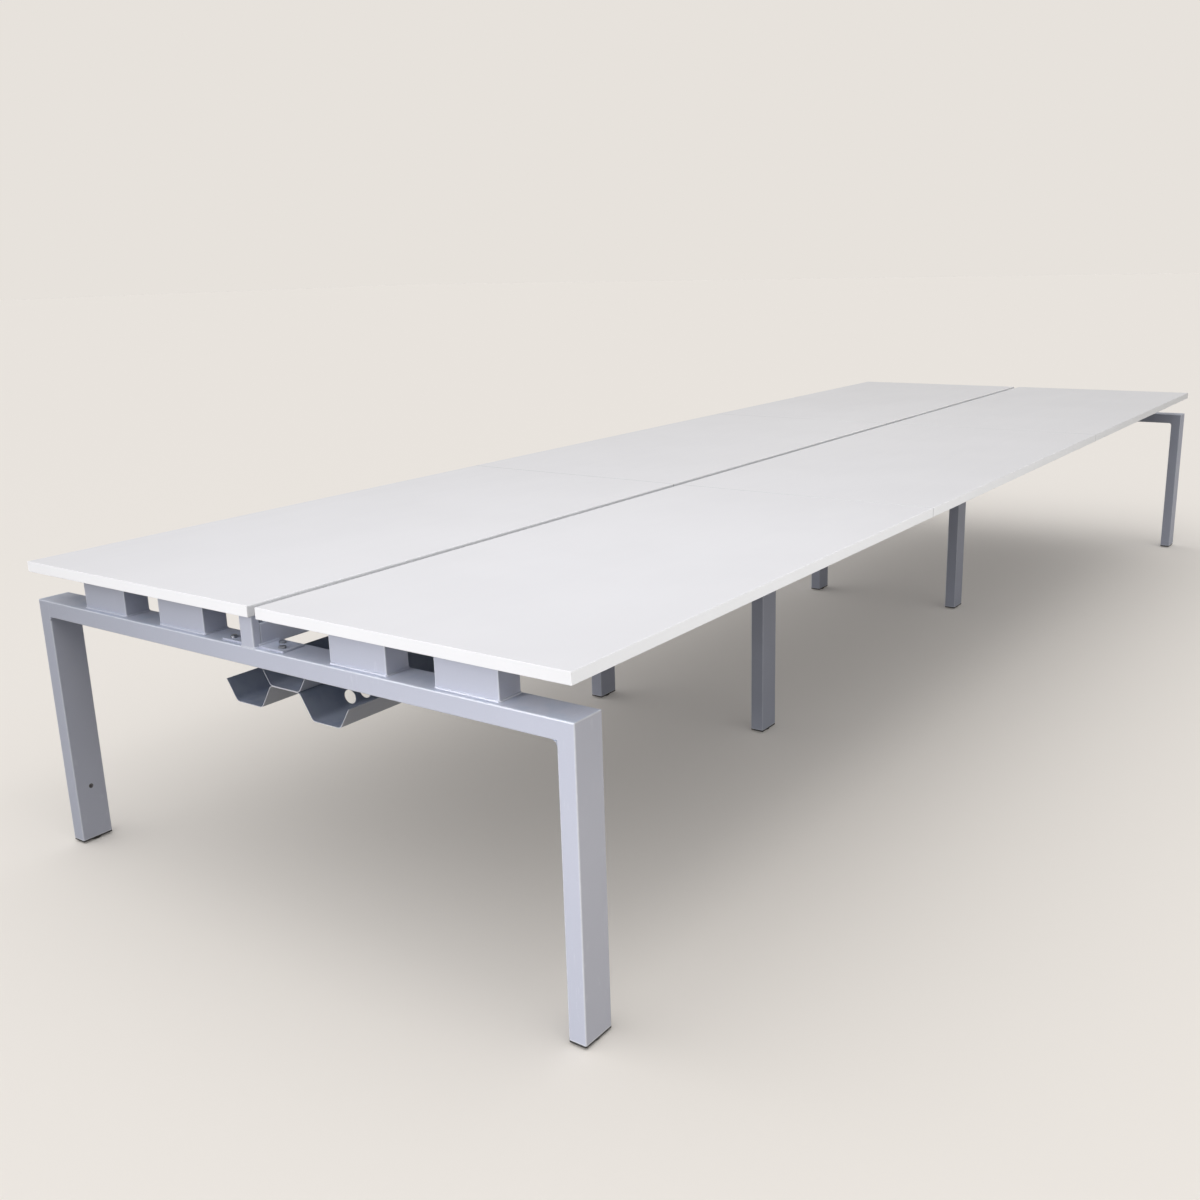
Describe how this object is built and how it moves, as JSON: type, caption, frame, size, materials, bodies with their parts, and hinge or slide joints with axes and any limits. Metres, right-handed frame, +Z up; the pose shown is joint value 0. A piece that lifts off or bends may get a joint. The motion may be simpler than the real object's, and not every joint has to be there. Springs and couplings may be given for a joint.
{
  "type": "bench desk",
  "caption": "Long bench desk with facing rows of white tops on silver tube frames, a central spine beam, folded cable trays and levelling feet.",
  "frame": {"origin": "on the floor, under the middle of the desk's overall box", "axes": "+X along the desk towards its far end in the picture, +Y across it towards the left row, +Z up"},
  "size_m": [4.801, 1.625, 0.73],
  "materials": {
    "desk_top": "white melamine on chipboard, satin",
    "edging": "white edge band, satin",
    "frame": "silver-grey powder coat, satin",
    "tray": "silver-grey powder coat on folded sheet, satin",
    "fastener": "bright zinc",
    "plastic": "black moulded plastic",
    "foot": "black moulded plastic"
  },
  "bodies": {
    "desk": {"beam_end_caps": "plastic", "channel_far": "tray", "channel_middle": "tray", "channel_near": "tray", "corner_welds": "frame", "edging_far_left": "edging", "edging_far_right": "edging", "edging_middle_left": "edging", "edging_middle_right": "edging", "edging_near_left": "edging", "edging_near_right": "edging", "far_crossbeam": "frame", "far_leg_left": "frame", "far_leg_right": "frame", "far_post": "frame", "far_risers": "frame", "foot_inserts": "plastic", "hanger_bolts": "fastener", "hanger_screws": "fastener", "hangers_far": "frame", "hangers_middle": "frame", "hangers_near": "frame", "near_crossbeam": "frame", "near_leg_left": "frame", "near_leg_right": "frame", "near_post": "frame", "near_risers": "frame", "rivet_nuts": "fastener", "second_crossbeam": "frame", "second_leg_left": "frame", "second_leg_right": "frame", "second_risers": "frame", "spine_bolts": "fastener", "spine_far": "frame", "spine_lugs": "frame", "spine_middle": "frame", "spine_near": "frame", "third_crossbeam": "frame", "third_leg_left": "frame", "third_leg_right": "frame", "third_risers": "frame", "top_far_left": "desk_top", "top_far_right": "desk_top", "top_middle_left": "desk_top", "top_middle_right": "desk_top", "top_near_left": "desk_top", "top_near_right": "desk_top", "top_screws": "fastener", "tray_far": "tray", "tray_middle": "tray", "tray_near": "tray"},
    "foot_near_right": {"foot_near_right": "foot"},
    "foot_near_left": {"foot_near_left": "foot"},
    "foot_second_right": {"foot_second_right": "foot"},
    "foot_second_left": {"foot_second_left": "foot"},
    "foot_third_right": {"foot_third_right": "foot"},
    "foot_third_left": {"foot_third_left": "foot"},
    "foot_far_right": {"foot_far_right": "foot"},
    "foot_far_left": {"foot_far_left": "foot"}
  },
  "joints": [
    {"name": "foot_near_right_level", "type": "slide", "parent": "desk", "child": "foot_near_right", "axis": [0, 0, -1], "range_m": [0, 0.012]},
    {"name": "foot_near_left_level", "type": "slide", "parent": "desk", "child": "foot_near_left", "axis": [0, 0, -1], "range_m": [0, 0.012]},
    {"name": "foot_second_right_level", "type": "slide", "parent": "desk", "child": "foot_second_right", "axis": [0, 0, -1], "range_m": [0, 0.012]},
    {"name": "foot_second_left_level", "type": "slide", "parent": "desk", "child": "foot_second_left", "axis": [0, 0, -1], "range_m": [0, 0.012]},
    {"name": "foot_third_right_level", "type": "slide", "parent": "desk", "child": "foot_third_right", "axis": [0, 0, -1], "range_m": [0, 0.012]},
    {"name": "foot_third_left_level", "type": "slide", "parent": "desk", "child": "foot_third_left", "axis": [0, 0, -1], "range_m": [0, 0.012]},
    {"name": "foot_far_right_level", "type": "slide", "parent": "desk", "child": "foot_far_right", "axis": [0, 0, -1], "range_m": [0, 0.012]},
    {"name": "foot_far_left_level", "type": "slide", "parent": "desk", "child": "foot_far_left", "axis": [0, 0, -1], "range_m": [0, 0.012]}
  ]
}
